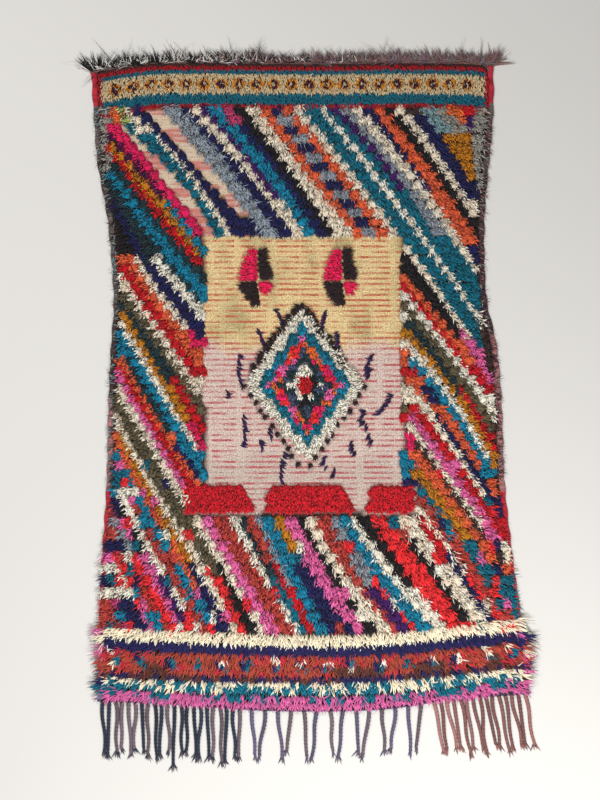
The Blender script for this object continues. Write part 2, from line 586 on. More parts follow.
PUFF_HEIGHT, PUFF_DYE = 0.0100, 0.08
PUFF_FULLNESS = 0.64
PUFF_LENGTH = 0.56
LEAST_ACROSS = 0.0115
PILE_ROOT = 0.005
COMBED_SPREAD, COMB_PULL = 0.42, 1.6
PUFF_SIZES, PUFF_HEIGHTS, PUFF_TURNS = (0.88, 1.12), (0.85, 1.1), (-0.25, 0.25)
END_LENGTHS, END_LIFTS, END_WIDTHS, END_CURLS = (0.55, 1.4), (0.7, 1.3), (0.7, 1.15), (-0.4, 0.4)
OVER_DOWN, OVER_ASIDE, ROUND_TURNS = (-0.75, 0.45), (-0.8, 0.8), (-0.35, 0.35)
RIM_OF_PUFF = 0.74
OVER_ROOT, OVER_LIFT, OVER_DROP, OVER_DYE = 0.0090, 0.0075, -0.002, 0.40
ROUND_ROOT, ROUND_LIFT, ROUND_DROP, ROUND_DYE = 0.005, 0.008, -0.003, 0.28
ROUND_SHORTEST, ROUND_PULLED = 0.0054, 0.0048
SIDE_LIE, SIDE_LIE_LOWER = 0.60, 0.40
DOWN_LIE, DOWN_LIE_LOWER = -0.28, -0.42
LIE_REACH, LOWER_FROM, LOWER_OVER = 0.62, -0.15, 0.55
EDGE_ROOM, EDGE_LEAST, EDGE_HANGS = 0.006, 0.010, -0.010
HANGS_BELOW, HANGS_OVER = -0.62, 0.30
SHORTEST_RUN = 0.004
SLIP_TURN = 0.55
STRAYS = 420  # a side
STRAY_FALL, STRAY_ROOT = -0.35, 0.010
STRAY_INSET, STRAY_LENGTHS = (0.012, 0.028), (0.014, 0.030)
STRAY_LIFT, STRAY_DROP, STRAY_WIDTH = 0.006, -0.004, STRAND_WIDTH * 0.62
MIXED_FROM, MIXED_OVER = 36, 8  # rows
MIXED_BESIDE, MIXED_RIGHT = 0.30, 0.45
MIXED_LEAST, MIXED_MOST = 0.05, 0.40
MIXED_YARNS = ("white", "turquoise", "navy", "brick", "mauve", "teal", "white", "scarlet")
STRAY_YARNS = (("sage", "aqua", "brown", "cord_grey"), ("brown", "cord_rose", "wine", "sage"))
RED_SIDE = Box(left=-1.0, right=1.0, foot=-0.64, head=-0.24)
HAIRY_ROWS = 14
HAIRS = 16
HAIR_THICK = 0.0011
HAIR_SPREAD, HAIR_ROOT, HAIR_LENGTHS = 0.012, 0.017, (0.020, 0.036)
HAIR_LIFT, HAIR_DROP = 0.006, -0.004
RED_BAND = Box(left=-0.377, right=0.371, foot=-0.343, head=-0.255)

# One yarn end: a three-sided cone, cut across so that it can arch. Long ends have two cuts
YARN_PLACES, YARN_GIRTHS = (0.0, 0.4, 0.75, 1.0), (0.85, 1.10, 0.75, 0.04)
Form = namedtuple("Form", "share angle girth faces")


def yarn_form(cuts):
    """The cone as numbers: how far along and which way round each of its points lies."""
    bpy.ops.object.select_all(action="DESELECT")
    bpy.ops.mesh.primitive_cone_add(vertices=3, radius1=1.0, radius2=0.0, depth=1.0)
    cone = bpy.context.object
    bpy.ops.object.mode_set(mode="EDIT")
    for cut in cuts:
        bpy.ops.mesh.select_all(action="SELECT")
        bpy.ops.mesh.bisect(plane_co=(0.0, 0.0, cut - 0.5), plane_no=(0.0, 0.0, 1.0))
    bpy.ops.object.mode_set(mode="OBJECT")
    share = np.array([vertex.co.z + 0.5 for vertex in cone.data.vertices])
    angle = np.array([math.atan2(vertex.co.y, vertex.co.x) for vertex in cone.data.vertices])
    girth = np.interp(share, YARN_PLACES, YARN_GIRTHS)
    faces = [tuple(face.vertices) for face in cone.data.polygons]
    bpy.data.objects.remove(cone, do_unlink=True)
    return Form(share, angle, girth, faces)


LONG_END = yarn_form((0.40, 0.75))
SHORT_END = yarn_form((0.50,))

# One puff: a low dome, the soft middle that a knot opens into. Its plan is nearly square
PUFF_CUT = -0.3
PUFF_SQUARENESS, PUFF_CORE = 0.35, 0.2
bpy.ops.object.select_all(action="DESELECT")
bpy.ops.mesh.primitive_uv_sphere_add(segments=8, ring_count=5, radius=1.0)
dome = bpy.context.object
bpy.ops.object.mode_set(mode="EDIT")
bpy.ops.mesh.select_all(action="SELECT")
bpy.ops.mesh.bisect(
    plane_co=(0.0, 0.0, PUFF_CUT), plane_no=(0.0, 0.0, 1.0), clear_inner=True, use_fill=True
)
bpy.ops.object.mode_set(mode="OBJECT")
PUFF_POINTS = np.array([vertex.co for vertex in dome.data.vertices])
from_middle = np.maximum(np.hypot(*PUFF_POINTS[:, :2].T), PUFF_CORE)
PUFF_POINTS[:, :2] *= from_middle[:, None] ** -PUFF_SQUARENESS
PUFF_FACES = [tuple(face.vertices) for face in dome.data.polygons]
bpy.data.objects.remove(dome, do_unlink=True)

Ends = namedtuple("Ends", "x y z heading length lift drop width curl colour")
Puffs = namedtuple("Puffs", "x y half_long half_across height turn colour")
Copies = namedtuple("Copies", "faces co tint uv")
ARCH_MIDDLE, ARCH_TIP = 0.30, 0.95  # how far out an end is at mid-arch and at its tip
ROOT_SHADE, TIP_SHADE, PALEST = 0.50, 1.40, 0.96
LEAST_HEIGHT, PUFF_LEAST_HEIGHT = 0.0004, 0.0006
PUFF_RUN = (20.0, 1.0)  # a puff's fibres are drawn out along the rug
PUFF_LUMPS = (0.74, 1.14)
PUFF_SHADE, PUFF_LIGHTER, PUFF_SHADES = 0.46, 0.34, (0.34, 0.90)


def columns(kind, rows):
    """Many rows as one table of columns."""
    return kind(*(np.array(column) for column in zip(*rows)))


def end_copies(rows, form):
    """The one yarn end, arched along its own path for each row of the table."""
    ends = columns(Ends, rows)
    t = form.share[None, :]
    out = np.stack((np.cos(ends.heading), np.sin(ends.heading)), axis=1)
    reach, lift, drop = (ends.length[:, None], ends.lift[:, None], ends.drop[:, None])
    forth = reach * (2 * (1 - t) * t * ARCH_MIDDLE + t**2 * ARCH_TIP)
    height = 2 * (1 - t) * t * lift + t**2 * drop
    aside = ends.curl[:, None] * reach * t**2
    slope = (2 * (1 - 2 * t) * lift + 2 * t * drop) / (
        reach * (2 * (1 - 2 * t) * ARCH_MIDDLE + 2 * t * ARCH_TIP)
    )
    flat = 1 / np.sqrt(1 + slope**2)
    girth = ends.width[:, None] * form.girth[None, :]
    sideways = aside + girth * np.cos(form.angle)[None, :]
    upward = girth * np.sin(form.angle)[None, :]
    forth = forth - upward * slope * flat
    height = height + upward * flat
    co = np.empty((len(ends.x), len(form.share), 3))
    co[..., 0] = ends.x[:, None] + out[:, 0:1] * forth - out[:, 1:2] * sideways
    co[..., 1] = ends.y[:, None] + out[:, 1:2] * forth + out[:, 0:1] * sideways
    co[..., 2] = np.maximum(ends.z[:, None] + height, LEAST_HEIGHT)
    shade = ROOT_SHADE + (TIP_SHADE - ROOT_SHADE) * form.share
    tint = np.minimum(ends.colour[:, None, :] * shade[None, :, None], PALEST)
    corners = np.concatenate([np.array(face) for face in form.faces])
    uv = np.empty((len(ends.x), len(corners), 2))
    uv[..., 0] = (form.angle / math.tau)[corners][None, :]
    uv[..., 1] = form.share[corners][None, :] * reach + ends.x[:, None]
    return Copies(form.faces, co, tint, uv)


def puff_copies(rows, chance):
    """The one dome, turned, stretched and made lumpy for each row of the table."""
    puffs = columns(Puffs, rows)
    count = len(puffs.x)
    lumps = np.array([chance.uniform(*PUFF_LUMPS) for _ in range(count * len(PUFF_POINTS))])
    shape = PUFF_POINTS[None, :, :] * lumps.reshape(count, -1, 1)
    turn_x, turn_y = np.cos(puffs.turn)[:, None], np.sin(puffs.turn)[:, None]
    co = np.empty_like(shape)
    long = shape[..., 0] * puffs.half_long[:, None]
    across = shape[..., 1] * puffs.half_across[:, None]
    co[..., 0] = puffs.x[:, None] + long * turn_x - across * turn_y
    co[..., 1] = puffs.y[:, None] + long * turn_y + across * turn_x
    co[..., 2] = PILE_ROOT + puffs.height[:, None] * shape[..., 2]
    co[..., 2] = np.maximum(co[..., 2], PUFF_LEAST_HEIGHT)
    depth = np.clip(PUFF_SHADE + PUFF_LIGHTER * shape[..., 2:3], *PUFF_SHADES)
    corners = np.concatenate([np.array(face) for face in PUFF_FACES])
    uv = co[:, corners, :2] * np.array(PUFF_RUN)
    return Copies(PUFF_FACES, co, puffs.colour[:, None, :] * depth, uv)


def joined_mesh(name, parts):
    """One mesh object from several sets of copies, with its dye and its run of yarn."""
    index, totals, co, tint, uv = [], [], [], [], []
    first = 0
    for part in parts:
        count, points = part.co.shape[:2]
        corners = np.concatenate([np.array(face) for face in part.faces])
        index.append((corners[None, :] + first + (np.arange(count) * points)[:, None]).ravel())
        totals.append(np.tile([len(face) for face in part.faces], count))
        co.append(part.co.reshape(-1, 3))
        tint.append(part.tint.reshape(-1, 3))
        uv.append(part.uv.reshape(-1, 2))
        first += count * points
    index, totals = np.concatenate(index), np.concatenate(totals)
    mesh = bpy.data.meshes.new(name)
    mesh.vertices.add(first)
    mesh.vertices.foreach_set("co", np.concatenate(co).ravel())
    mesh.loops.add(len(index))
    mesh.loops.foreach_set("vertex_index", index.astype(np.int32))
    mesh.polygons.add(len(totals))
    starts = np.concatenate(([0], np.cumsum(totals)[:-1]))
    mesh.polygons.foreach_set("loop_start", starts.astype(np.int32))
    mesh.update(calc_edges=True)
    colours = mesh.color_attributes.new("yarn", "FLOAT_COLOR", "POINT")
    tint = np.concatenate(tint)
    tint = np.concatenate((tint, np.ones((len(tint), 1))), axis=1)
    colours.data.foreach_set("color", tint.astype(np.float32).ravel())
    strand = mesh.uv_layers.new(name="strand")
    strand.data.foreach_set("uv", np.concatenate(uv).astype(np.float32).ravel())
    mesh.polygons.foreach_set("use_smooth", np.ones(len(totals), dtype=bool))
    mesh.update()
    made = bpy.data.objects.new(name, mesh)
    bpy.context.scene.collection.objects.link(made)
    return made


def dyed(yarn, chance, spread=0.14):
    """One yarn end's own shade of its dye."""
    base = linear(*YARNS[yarn])
    shade = 1 + chance.uniform(-spread, spread)
    warm = chance.uniform(-0.04, 0.04)
    return (base[0] * shade * (1 + warm), base[1] * shade, base[2] * shade * (1 - warm))


def row_level(row):
    return FIRST_ROW - ROW_PITCH * row


def stripe_edge(stripe, row):
    """Left edge of a stripe at a row, from the middle of the rug."""
    span = max(1, stripe.last_row - stripe.first_row)
    t = (row - stripe.first_row) / span
    return KNOT_PITCH * (mix(stripe.start, stripe.end, t) + 4 * stripe.bow * t * (1 - t))


def lie_of_pile(x, y):
    """Which way the pile is combed at a place, and how strongly."""
    side = max(-1.0, min(1.0, x / LIE_REACH))
    lower = max(0.0, min(1.0, (LOWER_FROM - y) / LOWER_OVER))
    sideways = side * abs(side) * (SIDE_LIE + SIDE_LIE_LOWER * lower)
    return sideways, DOWN_LIE + DOWN_LIE_LOWER * lower


def knot(x, y, yarn, chance, half_across, half_long, turn, grow=1.0, comb=None):
    """One knot: its puff, the ends that lie over it, and the pointed ends round it."""
    comb_x, comb_y = comb or lie_of_pile(x, y)
    size = chance.uniform(*PUFF_SIZES)
    puff = (
        x, y, half_long * size, half_across * size, PUFF_HEIGHT * chance.uniform(*PUFF_HEIGHTS),
        turn + chance.uniform(*PUFF_TURNS), dyed(yarn, chance, PUFF_DYE),
    )
    rows = []
    first = chance.uniform(0, math.tau)
    turn_x, turn_y = math.cos(turn), math.sin(turn)
    combed = math.atan2(comb_y * 3, comb_x * 3)
    for i in range(OVER_ENDS + ROUND_ENDS):
        over = i < OVER_ENDS
        if over:
            down = chance.uniform(*OVER_DOWN) * half_long
            aside = chance.uniform(*OVER_ASIDE) * half_across
            heading = combed + chance.gauss(0.0, COMBED_SPREAD)
            length = OVER_LENGTH * grow
        else:
            angle = first + math.tau * i / ROUND_ENDS + chance.uniform(*ROUND_TURNS)
            down = RIM_OF_PUFF * half_long * math.cos(angle)
            aside = RIM_OF_PUFF * half_across * math.sin(angle)
        off_x, off_y = down * turn_x - aside * turn_y, down * turn_y + aside * turn_x
        if not over:
            away = math.hypot(off_x, off_y)
            push_x, push_y = off_x / away + comb_x * COMB_PULL, off_y / away + comb_y * COMB_PULL
            heading = math.atan2(push_y, push_x)
            length = (ROUND_SHORTEST + ROUND_PULLED * math.hypot(push_x, push_y)) * grow
        rows.append((
            x + off_x, y + off_y, PILE_ROOT + (OVER_ROOT if over else ROUND_ROOT),
            heading, length * chance.uniform(*END_LENGTHS),
            (OVER_LIFT if over else ROUND_LIFT) * chance.uniform(*END_LIFTS),
            OVER_DROP if over else ROUND_DROP, STRAND_WIDTH * chance.uniform(*END_WIDTHS),
            chance.uniform(*END_CURLS), dyed(yarn, chance, OVER_DYE if over else ROUND_DYE),
        ))
    return puff, rows


def hairs(x, y, turn, chance):
    """Loose fine hair that stands out of a knot of mohair, combed along its stripe."""
    return [
        (
            x + chance.uniform(-HAIR_SPREAD, HAIR_SPREAD),
            y + chance.uniform(-HAIR_SPREAD, HAIR_SPREAD), HAIR_ROOT,
            turn + chance.gauss(0.0, 0.75), chance.uniform(*HAIR_LENGTHS), HAIR_LIFT, HAIR_DROP,
            HAIR_THICK, chance.uniform(-0.6, 0.6), dyed("haze", chance, 0.3),
        )
        for _ in range(HAIRS)
    ]


def add_knot(bin_of_knots, made):
    """Puts a knot's puff and its ends with those of its piece."""
    bin_of_knots[0].append(made[0])
    bin_of_knots[1].extend(made[1])


chance = random.Random(3)
field = {}
for row in [*range(WIDE_FROM), *np.arange(WIDE_FROM, FIELD_ROWS, WIDE_STEP)]:
    y = row_level(row)
    step = 1.0 if row < WIDE_FROM else WIDE_STEP
    along = (y - foot_level) / (head_level - foot_level)
    left, right = side_limits(along)
    above = min(max((y - HANGS_BELOW) / HANGS_OVER, 0.0), 1.0)
    room = max(mix(EDGE_HANGS, inset + EDGE_ROOM, above), EDGE_LEAST)
    left, right = left + room, right - room
    overrun = (row > WIDE_FROM) * 0.5
    rowed = [
        s for s in STRIPES
        if s.first_row <= row <= s.last_row + (s.last_row == LAST_CHARTED) + overrun
    ]
    edges = sorted((stripe_edge(s, row), s.yarn, stripe_edge(s, row + step)) for s in rowed)
    for i, (start, yarn, below) in enumerate(edges):
        slip = below - start
        end = edges[i + 1][0] if i + 1 < len(edges) else right
        start = left if i == 0 else max(start, left)
        end = min(end, right)
        if end - start < SHORTEST_RUN:
            continue
        yarn = yarn.split("/")[round(row) % 2] if "/" in yarn else yarn
        knots = max(1, round((end - start) / KNOT_PITCH))
        turn = math.atan2(-ROW_PITCH * step, slip * SLIP_TURN)
        for n in range(knots):
            x = start + (end - start) * (n + 0.5) / knots
            if yarn == "bare" or within(PANEL, x, y) or within(RED_BAND, x, y):
                continue
            half = "left" if x < PANEL.left else "right" if x > PANEL.right else "middle"
            level = "upper" if y > PANEL.head else "lower" if y < PANEL.foot else "beside"
            lower = min(max((row - MIXED_FROM) / MIXED_OVER, 0.0), 1.0)
            beside = min(max((abs(x) - MIXED_BESIDE) / MIXED_BESIDE, 0.0), 1.0)
            beside *= 1.0 if x < 0 else MIXED_RIGHT
            knot_yarn = yarn
            if chance.random() < lower * (MIXED_LEAST + MIXED_MOST * beside):
                knot_yarn = chance.choice(MIXED_YARNS)
            place = (x + chance.uniform(-0.002, 0.002), y + chance.uniform(-0.003, 0.003))
            half_across = max(PUFF_FULLNESS * (end - start) / knots, LEAST_ACROSS)
            half_long = PUFF_LENGTH * math.hypot(slip, ROW_PITCH * step)
            grow = 1.0 + LONGER * (step - 1.0)
            add_knot(
                field.setdefault(f"pile_{level}_{half}", ([], [])),
                knot(*place, knot_yarn, chance, half_across, half_long, turn, grow),
            )
            if yarn == "mist" and row < HAIRY_ROWS and x < 0:
                field[f"pile_{level}_{half}"][1].extend(hairs(*place, turn, chance))

for side, outward in ((0, -1.0), (1, 1.0)):
    for n in range(STRAYS):
        y = mix(row_level(FIELD_ROWS), row_level(0), chance.random())
        if within(RED_SIDE, 0.0, y):
            continue
        edge = side_limits((y - foot_level) / (head_level - foot_level))[side]
        half = "left" if side == 0 else "right"
        level = "upper" if y > PANEL.head else "lower" if y < PANEL.foot else "beside"
        heading = math.atan2(STRAY_FALL, outward) + chance.gauss(0.0, 0.5)
        field[f"pile_{level}_{half}"][1].append((
            edge - outward * chance.uniform(*STRAY_INSET), y, STRAY_ROOT, heading,
            chance.uniform(*STRAY_LENGTHS), STRAY_LIFT, STRAY_DROP, STRAY_WIDTH,
            chance.uniform(-0.6, 0.6), dyed(chance.choice(STRAY_YARNS[side]), chance, 0.3),
        ))

YARN_STRETCH, YARN_FINENESS, YARN_EDGES = (6.0, 160.0, 1.0), 2.0, (0.30, 0.72)
BETWEEN_FIBRES, ON_FIBRES = (0.66, 0.66, 0.66), (1.22, 1.22, 1.22)
YARN_RELIEF, YARN_DEPTH = 0.5, 0.0006
wool, nodes, links, shader = new_material("knotted_wool", 0.92, 0.06)
dye = nodes.new("ShaderNodeVertexColor")
dye.layer_name = "yarn"
run = nodes.new("ShaderNodeUVMap")
run.uv_map = "strand"
streak, fibre = spun_fibre(run.outputs["UV"], YARN_STRETCH, YARN_FINENESS, *YARN_EDGES)
tone = blend_colours(streak, BETWEEN_FIBRES, ON_FIBRES)
dyed_tone = blend_colours(1.0, dye.outputs["Color"], tone, "MULTIPLY")
links.new(dyed_tone, shader.inputs["Base Color"])
relief = nodes.new("ShaderNodeBump")
relief.inputs["Strength"].default_value = YARN_RELIEF
relief.inputs["Distance"].default_value = YARN_DEPTH
links.new(fibre, relief.inputs["Height"])
links.new(relief.outputs["Normal"], shader.inputs["Normal"])


def tuft_piece(name, rows, puffs=(), form=SHORT_END):
    """A finished piece of pile from the rows of its yarn ends and puffs."""
    parts = [end_copies(rows, form)]
    if puffs:
        parts.append(puff_copies(puffs, random.Random(len(puffs))))
    piece = joined_mesh(name, parts)
    piece.data.materials.append(wool)
    settle(piece)
    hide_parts("cloth")
    return piece


for name, (puffs, rows) in field.items():
    tuft_piece(name, rows, puffs)

# The ground is clean where it shows: in the panel, its notches and the bare stripes
BARE_UNDER = 0.008
bare = ground.data.color_attributes.new("bare", "FLOAT_COLOR", "POINT")
for vertex, colour in zip(ground.data.vertices, bare.data):
    x, y = vertex.co.x, vertex.co.y
    row = (FIRST_ROW - y) / ROW_PITCH
    rowed = [s for s in STRIPES if s.first_row - 0.5 <= row <= s.last_row + 0.5]
    in_stripe = False
    for reached in (x - BARE_UNDER, x, x + BARE_UNDER):
        before = [(stripe_edge(s, row), s.yarn) for s in rowed if stripe_edge(s, row) <= reached]
        in_stripe = in_stripe or bool(before) and max(before)[1] == "bare"
    shown = in_stripe or within(PANEL, x, y) or within(RED_BAND, x, y)
    colour.color = (float(shown), float(in_stripe), 0.0, 1.0)

# --- Red band ---------------------------------------------------------------------------
# Under the bare panel runs a band of close, even crimson pile. It is interrupted twice by
# a notch in which the ground shows.
NOTCHES = (-0.145, 0.182)
NOTCH_TOP = 0.046
NOTCH_FOOT = 0.018
BAND_ROWS, BAND_ROW, BAND_KNOT = 5, 0.0165, 0.019
BAND_ROOM = 0.006
BAND_FULLNESS = 0.7

chance = random.Random(8)
band = ([], [])
for step in range(BAND_ROWS):
    y = RED_BAND.head - BAND_ROOM - BAND_ROW * step
    notch = mix(NOTCH_TOP, NOTCH_FOOT, step / (BAND_ROWS - 1))
    for n in range(round((RED_BAND.right - RED_BAND.left) / BAND_KNOT)):
        x = RED_BAND.left + BAND_KNOT * (n + 0.5 * (step % 2))
        if any(abs(x - middle) < notch for middle in NOTCHES):
            continue
        place = (x, y + chance.uniform(-0.002, 0.002))
        halves = (BAND_ROW * BAND_FULLNESS, BAND_KNOT * BAND_FULLNESS)
        add_knot(band, knot(*place, "band_red", chance, *halves, 0.0, 0.8))
tuft_piece("pile_red_band", band[1], band[0])

# --- Foot band --------------------------------------------------------------------------
# The last rows are tied with longer ends, combed towards the foot and fanned out at both
# sides: cream, navy, terracotta with bright knots between, navy, cream with teal, pink.
FootRow = namedtuple("FootRow", "yarns left middle right")
TERRACOTTA_YARNS = ("terracotta", "terracotta", "terracotta", "foot_red")
FOOT_ROWS = (
    FootRow(("foot_pink",), -0.932, -0.953, -0.906),
    FootRow(("foot_pink", "foot_pink", "teal"), -0.914, -0.930, -0.886),
    FootRow(("teal", "teal", "foot_cream"), -0.892, -0.900, -0.862),
    FootRow(("foot_cream", "teal", "foot_cream"), -0.876, -0.884, -0.846),
    FootRow(("foot_navy", "foot_navy", "foot_brown"), -0.854, -0.864, -0.826),
    FootRow(TERRACOTTA_YARNS, -0.836, -0.846, -0.810),
    FootRow(TERRACOTTA_YARNS, -0.818, -0.830, -0.794),
    FootRow(TERRACOTTA_YARNS, -0.800, -0.812, -0.778),
    FootRow(TERRACOTTA_YARNS, -0.784, -0.796, -0.762),
    FootRow(("foot_navy",), -0.764, -0.780, -0.742),
    FootRow(("foot_navy",), -0.750, -0.766, -0.728),
    FootRow(("foot_cream",), -0.730, -0.748, -0.706),
    FootRow(("foot_cream",), -0.713, -0.732, -0.688),
)
FOOT_KNOT = 0.016
FOOT_ENDS = 8
FOOT_KNOTS, FOOT_FIRST, FOOT_INSET = 85, -0.640, 0.008
FOOT_STATIONS = (-0.60, -0.10, 0.20, 0.66)
FOOT_LENGTH, FOOT_LIFT, FOOT_WIDTH = 0.042, 0.024, 0.0029
LAST_ROW_SHORTER = 0.8
FAN_REACH, FAN_LEFT, FAN_RIGHT = 0.66, 1.15, 0.95
EDGE_MIXED, EDGE_FANNED, EDGE_LONGER = 0.034, 0.05, 0.75
TERRACOTTA = range(5, 9)
BRIGHT_PITCH, BRIGHT_FIRST = 0.084, -0.60
EDGE_YARNS = ("foot_cream", "foot_navy", "crimson", "foot_pink", "cream")
BROWN_PATCHES = ((-0.50, -0.43), (0.10, 0.27), (0.36, 0.46), (0.58, 0.64))

chance = random.Random(21)
halves = {"left": [], "right": []}
for order, foot_row in enumerate(FOOT_ROWS):
    levels = (foot_row.left, foot_row.middle, foot_row.middle, foot_row.right)
    bow = tuple(zip(FOOT_STATIONS, levels))
    for n in range(FOOT_KNOTS):
        x = FOOT_FIRST + FOOT_KNOT * n
        y = through(bow, x)
        along = (y - foot_level) / (head_level - foot_level)
        left, right = side_limits(max(0.0, along))
        if not left + FOOT_INSET < x < right - FOOT_INSET:
            continue
        yarn = chance.choice(foot_row.yarns)
        from_bright = (x - BRIGHT_FIRST) % BRIGHT_PITCH
        before_bright = from_bright > BRIGHT_PITCH - FOOT_KNOT
        if order in TERRACOTTA[1:3] and from_bright < FOOT_KNOT:
            yarn = "teal" if chance.random() < 0.7 else "white"
        elif order in TERRACOTTA[1:] and before_bright and chance.random() < 0.6:
            yarn = "foot_cream" if chance.random() < 0.3 else "foot_navy"
        elif order in TERRACOTTA[:2] and any(a < x < b for a, b in BROWN_PATCHES):
            yarn = "foot_brown"
        from_edge = min(x - left, right - x)
        if from_edge < EDGE_MIXED and chance.random() < 0.55:
            yarn = chance.choice(EDGE_YARNS)
        side = x / FAN_REACH
        fan = side * abs(side) * (FAN_LEFT if x < 0 else FAN_RIGHT)
        for i in range(FOOT_ENDS):
            heading = -math.pi / 2 + fan + chance.gauss(0.0, 0.36)
            length = FOOT_LENGTH * chance.uniform(0.65, 1.15)
            length *= LAST_ROW_SHORTER if order == 0 else 1.0
            length *= 1 + EDGE_LONGER * max(0.0, 1 - from_edge / EDGE_FANNED)
            halves["left" if x < 0 else "right"].append((
                x + chance.uniform(-0.007, 0.007), y + chance.uniform(-0.006, 0.006), PILE_ROOT,
                heading, length, FOOT_LIFT * chance.uniform(0.7, 1.2),
                0.003 + 0.008 * chance.random(), FOOT_WIDTH * chance.uniform(0.7, 1.3),
                chance.uniform(-0.4, 0.4), dyed(yarn, chance, 0.2),
            ))
for half, rows in halves.items():
    tuft_piece(f"pile_foot_band_{half}", rows, form=LONG_END)

# --- Head band --------------------------------------------------------------------------
# A border of finer wool is tied close and cut short: crimson, teal, cream with a row of
# small stepped lozenges, teal again, and a crimson line.
BandLine = namedtuple("BandLine", "yarn upper")
BAND_LINES = (  # each from its upper edge, measured down from the woven end, to the next
    BandLine("crimson", 0.000), BandLine("band_teal", 0.011), BandLine("band_cream", 0.025),
    BandLine("band_teal", 0.089), BandLine("crimson", 0.122), BandLine("", 0.140),
)
LOZENGES = 21
LOZENGE_FIRST, LOZENGE_LAST = -0.607, 0.533
LOZENGE_LEVEL = 0.057
LOZENGE_WIDE, LOZENGE_TALL = 0.021, 0.026
BAND_END_PITCH, BAND_ENDS_ACROSS, BAND_FIRST = 0.0062, 230, -0.690
BAND_END_LENGTH, BAND_END_LIFT, BAND_END_DROP = 0.021, 0.016, 0.007
BAND_END_WIDTH, BAND_END_ROOT = 0.0023, 0.004
BAND_TOP, BAND_SELVEDGE = 0.003, 0.009
LOZENGE_HEART, LOZENGE_DARK, LOZENGE_RIM = 0.30, 0.72, 1.15
SIDE_DIP = ((-0.692, 0.012), (-0.60, 0.008), (-0.45, 0.0), (0.45, 0.0), (0.62, 0.004))

chance = random.Random(33)
halves = {"left": [], "right": []}
lozenge_pitch = (LOZENGE_LAST - LOZENGE_FIRST) / (LOZENGES - 1)
for step in range(int(BAND_LINES[-1].upper / BAND_END_PITCH)):
    for n in range(BAND_ENDS_ACROSS):
        x = BAND_FIRST + BAND_END_PITCH * (n + 0.5 * (step % 2)) + chance.uniform(-0.002, 0.002)
        down = BAND_TOP + BAND_END_PITCH * step + chance.uniform(-0.002, 0.002)
        y = through(HEAD_END, x) - down - through(SIDE_DIP, x) * down / BAND_LINES[-1].upper
        left, right = side_limits((y - foot_level) / (head_level - foot_level))
        if not left + inset < x < right - inset or down > BAND_LINES[-1].upper:
            continue
        yarn = [line.yarn for line in BAND_LINES if line.upper <= down][-1]
        place = (x - LOZENGE_FIRST) % lozenge_pitch
        aside = min(place, lozenge_pitch - place) / LOZENGE_WIDE
        apart_y = abs(down - LOZENGE_LEVEL) / LOZENGE_TALL
        if yarn == "band_cream" and LOZENGE_FIRST - 0.02 < x < LOZENGE_LAST + 0.02:
            if aside + apart_y < LOZENGE_HEART:
                yarn = "band_cream"
            elif aside + apart_y < LOZENGE_DARK:
                yarn = "plum"
            elif aside + apart_y < LOZENGE_RIM and aside > 0.25:
                yarn = "ochre"
        if x < left + inset + BAND_SELVEDGE or x > right - inset - BAND_SELVEDGE:
            yarn = "crimson"
        for i in range(2):
            heading = -math.pi / 2 + chance.gauss(0, 0.32)
            halves["left" if x < 0 else "right"].append((
                x, y, BAND_END_ROOT, heading, BAND_END_LENGTH * chance.uniform(0.7, 1.2),
                BAND_END_LIFT * chance.uniform(0.85, 1.1), BAND_END_DROP * chance.uniform(0.5, 1.5),
                BAND_END_WIDTH * chance.uniform(0.85, 1.2), chance.uniform(-0.3, 0.3),
                dyed(yarn, chance),
            ))
for half, rows in halves.items():
    tuft_piece(f"pile_head_band_{half}", rows)

# --- Lozenge ----------------------------------------------------------------------------
# The middle of the panel has a lozenge of five rings, knotted closer than the field, with
# the outer ring's cream ends combed outwards over the ground.
LOZENGE_X, LOZENGE_Y = 0.006, 0.080
LOZENGE_HALF_WIDTH, LOZENGE_HALF_LENGTH = 0.178, 0.240
Ring = namedtuple("Ring", "inside yarns")
RINGS = (
    Ring(0.84, ("white",)), Ring(0.69, ("teal", "turquoise")),
    Ring(0.50, ("pink", "orange", "mauve", "scarlet")),
    Ring(0.30, ("slate", "slate", "figure_blue")),
    Ring(0.13, ("white",)), Ring(0.0, ("red",)),
)
LOZENGE_ROW, LOZENGE_KNOT = 0.0190, 0.0170
LOZENGE_SLIP = 0.0010
LOZENGE_PUFF = (0.0105, 0.0118)
BLOCK_LENGTH, BLOCK_SLANT = 0.035, 0.6
COMBED_OUT = 1.1
FLECKED = 0.14

chance = random.Random(13)
lozenge = ([], [])
for step in range(-13, 14):
    for n in range(-12, 13):
        off_x, off_y = LOZENGE_KNOT * (n + 0.5 * (step % 2)), LOZENGE_ROW * step
        depth = abs(off_x) / LOZENGE_HALF_WIDTH + abs(off_y) / LOZENGE_HALF_LENGTH
        if depth > 1.02:
            continue
        ring = next(ring for ring in RINGS if depth >= ring.inside)
        block = math.floor((off_y + BLOCK_SLANT * abs(off_x)) / BLOCK_LENGTH)
        block += 0 if off_x < 0 else 2
        yarn = ring.yarns[block % len(ring.yarns)]
        if chance.random() < 0.15:
            yarn = chance.choice(ring.yarns)
        if ring is RINGS[-2] and chance.random() < FLECKED:
            yarn = "black"
        comb = (0.0, -0.2)
        if ring is RINGS[0]:
            away = math.atan2(off_y / LOZENGE_HALF_LENGTH, off_x / LOZENGE_HALF_WIDTH)
            comb = (COMBED_OUT * math.cos(away), COMBED_OUT * math.sin(away))
        place = (LOZENGE_X + off_x - LOZENGE_SLIP * step, LOZENGE_Y + off_y)
        add_knot(lozenge, knot(*place, yarn, chance, *LOZENGE_PUFF, math.pi / 2, 0.85, comb))
tuft_piece("pile_lozenge", lozenge[1], lozenge[0])

